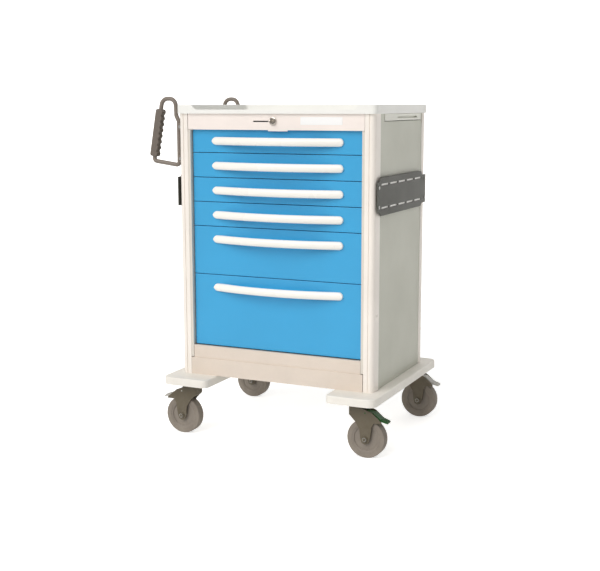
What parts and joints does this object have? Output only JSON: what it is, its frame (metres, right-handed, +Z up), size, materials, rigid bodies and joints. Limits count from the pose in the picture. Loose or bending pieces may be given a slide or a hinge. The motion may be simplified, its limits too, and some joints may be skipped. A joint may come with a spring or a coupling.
{
  "type": "treatment cart",
  "caption": "Tall wheeled cabinet with full-width drawers, a rimmed top, a side pull-out shelf, slotted accessory plates, side push handles and braked swivel casters.",
  "frame": {"origin": "bottom centre of the bounding box, on the floor", "axes": "+Z up, -Y out of the drawer fronts, +X towards the side shelf, -X towards the push handles"},
  "size_m": [0.8669, 0.622, 1.124],
  "materials": {
    "base_grey": "moulded",
    "sheet_grey": "satin powder coat",
    "body_cream": "satin powder coat",
    "kick_beige": "satin powder coat",
    "post_aluminium": "satin anodised",
    "side_grey": "satin powder coat",
    "label_white": "satin",
    "worktop_white": "moulded",
    "slide_steel": "zinc plated",
    "accessory_grey": "satin powder coat",
    "handle_tube": "satin",
    "grip_dark": "moulded",
    "screw_steel": "plated",
    "lock_chrome": "polished",
    "shelf_grey": "moulded",
    "drawer_blue": "satin powder coat",
    "tray_grey": "satin powder coat",
    "pull_white": "moulded",
    "fork_grey": "moulded",
    "hub_grey": "moulded",
    "tyre_grey": "matte",
    "pedal_green": "moulded",
    "pedal_grey": "moulded"
  },
  "bodies": {
    "carcass": {"base_plate": "base_grey", "bottom_pan": "sheet_grey", "kick_cover": "kick_beige", "corner_posts": "post_aluminium", "side_panel_left": "side_grey", "side_panel_right": "side_grey", "inner_wall_left": "sheet_grey", "inner_wall_right": "sheet_grey", "back_panel": "side_grey", "header_panel": "body_cream", "label_plate": "label_white", "top_pan": "sheet_grey", "worktop": "worktop_white", "slide_channels": "slide_steel", "shelf_guides": "slide_steel", "accessory_plate_left": "accessory_grey", "accessory_plate_right": "accessory_grey", "handle_frame_front": "handle_tube", "handle_frame_rear": "handle_tube", "handle_grip_front": "grip_dark", "handle_grip_rear": "grip_dark", "fasteners": "screw_steel", "lock_housing": "lock_chrome", "caster_mounts": "slide_steel"},
    "lock_barrel": {"lock_key": "lock_chrome"},
    "pull_out_shelf": {"side_shelf": "shelf_grey"},
    "drawer_1": {"drawer_1_front": "drawer_blue", "drawer_1_tray": "tray_grey", "drawer_1_pull": "pull_white"},
    "drawer_2": {"drawer_2_front": "drawer_blue", "drawer_2_tray": "tray_grey", "drawer_2_pull": "pull_white"},
    "drawer_3": {"drawer_3_front": "drawer_blue", "drawer_3_tray": "tray_grey", "drawer_3_pull": "pull_white"},
    "drawer_4": {"drawer_4_front": "drawer_blue", "drawer_4_tray": "tray_grey", "drawer_4_pull": "pull_white"},
    "drawer_5": {"drawer_5_front": "drawer_blue", "drawer_5_tray": "tray_grey", "drawer_5_pull": "pull_white"},
    "drawer_6": {"drawer_6_front": "drawer_blue", "drawer_6_tray": "tray_grey", "drawer_6_pull": "pull_white"},
    "caster_front_right_swivel": {"caster_front_right_fork": "fork_grey"},
    "caster_front_right_wheel": {"caster_front_right_hub": "hub_grey", "caster_front_right_tyre": "tyre_grey"},
    "caster_front_right_brake": {"caster_front_right_pedal": "pedal_green"},
    "caster_front_left_swivel": {"caster_front_left_fork": "fork_grey"},
    "caster_front_left_wheel": {"caster_front_left_hub": "hub_grey", "caster_front_left_tyre": "tyre_grey"},
    "caster_front_left_brake": {"caster_front_left_pedal": "pedal_grey"},
    "caster_rear_right_swivel": {"caster_rear_right_fork": "fork_grey"},
    "caster_rear_right_wheel": {"caster_rear_right_hub": "hub_grey", "caster_rear_right_tyre": "tyre_grey"},
    "caster_rear_right_brake": {"caster_rear_right_pedal": "pedal_grey"},
    "caster_rear_left_swivel": {"caster_rear_left_fork": "fork_grey"},
    "caster_rear_left_wheel": {"caster_rear_left_hub": "hub_grey", "caster_rear_left_tyre": "tyre_grey"},
    "caster_rear_left_brake": {"caster_rear_left_pedal": "pedal_grey"}
  },
  "joints": [
    {"name": "drawer_1_slide", "type": "slide", "parent": "carcass", "child": "drawer_1", "axis": [0, -1, 0], "range_m": [0, 0.35]},
    {"name": "drawer_2_slide", "type": "slide", "parent": "carcass", "child": "drawer_2", "axis": [0, -1, 0], "range_m": [0, 0.35]},
    {"name": "drawer_3_slide", "type": "slide", "parent": "carcass", "child": "drawer_3", "axis": [0, -1, 0], "range_m": [0, 0.35]},
    {"name": "drawer_4_slide", "type": "slide", "parent": "carcass", "child": "drawer_4", "axis": [0, -1, 0], "range_m": [0, 0.35]},
    {"name": "drawer_5_slide", "type": "slide", "parent": "carcass", "child": "drawer_5", "axis": [0, -1, 0], "range_m": [0, 0.35]},
    {"name": "drawer_6_slide", "type": "slide", "parent": "carcass", "child": "drawer_6", "axis": [0, -1, 0], "range_m": [0, 0.35]},
    {"name": "shelf_slide", "type": "slide", "parent": "carcass", "child": "pull_out_shelf", "axis": [1, 0, 0], "range_m": [0, 0.28]},
    {"name": "lock_turn", "type": "hinge", "parent": "carcass", "child": "lock_barrel", "pos_m": [0.033, -0.232, 1.046], "axis": [0, 1, 0], "range_deg": [0, 90]},
    {"name": "swivel_front_right", "type": "hinge", "parent": "carcass", "child": "caster_front_right_swivel", "pos_m": [0.342, -0.244, 0.15], "axis": [0, 0, 1], "continuous": true},
    {"name": "roll_front_right", "type": "hinge", "parent": "caster_front_right_swivel", "child": "caster_front_right_wheel", "pos_m": [0.364, -0.244, 0.0625], "axis": [0, 1, 0], "continuous": true},
    {"name": "brake_front_right", "type": "hinge", "parent": "caster_front_right_swivel", "child": "caster_front_right_brake", "pos_m": [0.364, -0.244, 0.147], "axis": [0, 1, 0], "range_deg": [0, 8]},
    {"name": "swivel_front_left", "type": "hinge", "parent": "carcass", "child": "caster_front_left_swivel", "pos_m": [-0.276, -0.244, 0.15], "axis": [0, 0, 1], "continuous": true},
    {"name": "roll_front_left", "type": "hinge", "parent": "caster_front_left_swivel", "child": "caster_front_left_wheel", "pos_m": [-0.298, -0.244, 0.0625], "axis": [0, 1, 0], "continuous": true},
    {"name": "brake_front_left", "type": "hinge", "parent": "caster_front_left_swivel", "child": "caster_front_left_brake", "pos_m": [-0.298, -0.244, 0.147], "axis": [0, -1, 0], "range_deg": [0, 8]},
    {"name": "swivel_rear_right", "type": "hinge", "parent": "carcass", "child": "caster_rear_right_swivel", "pos_m": [0.342, 0.268, 0.15], "axis": [0, 0, 1], "continuous": true},
    {"name": "roll_rear_right", "type": "hinge", "parent": "caster_rear_right_swivel", "child": "caster_rear_right_wheel", "pos_m": [0.364, 0.268, 0.0625], "axis": [0, 1, 0], "continuous": true},
    {"name": "brake_rear_right", "type": "hinge", "parent": "caster_rear_right_swivel", "child": "caster_rear_right_brake", "pos_m": [0.364, 0.268, 0.147], "axis": [0, 1, 0], "range_deg": [0, 8]},
    {"name": "swivel_rear_left", "type": "hinge", "parent": "carcass", "child": "caster_rear_left_swivel", "pos_m": [-0.276, 0.268, 0.15], "axis": [0, 0, 1], "continuous": true},
    {"name": "roll_rear_left", "type": "hinge", "parent": "caster_rear_left_swivel", "child": "caster_rear_left_wheel", "pos_m": [-0.298, 0.268, 0.0625], "axis": [0, 1, 0], "continuous": true},
    {"name": "brake_rear_left", "type": "hinge", "parent": "caster_rear_left_swivel", "child": "caster_rear_left_brake", "pos_m": [-0.298, 0.268, 0.147], "axis": [0, -1, 0], "range_deg": [0, 8]}
  ]
}
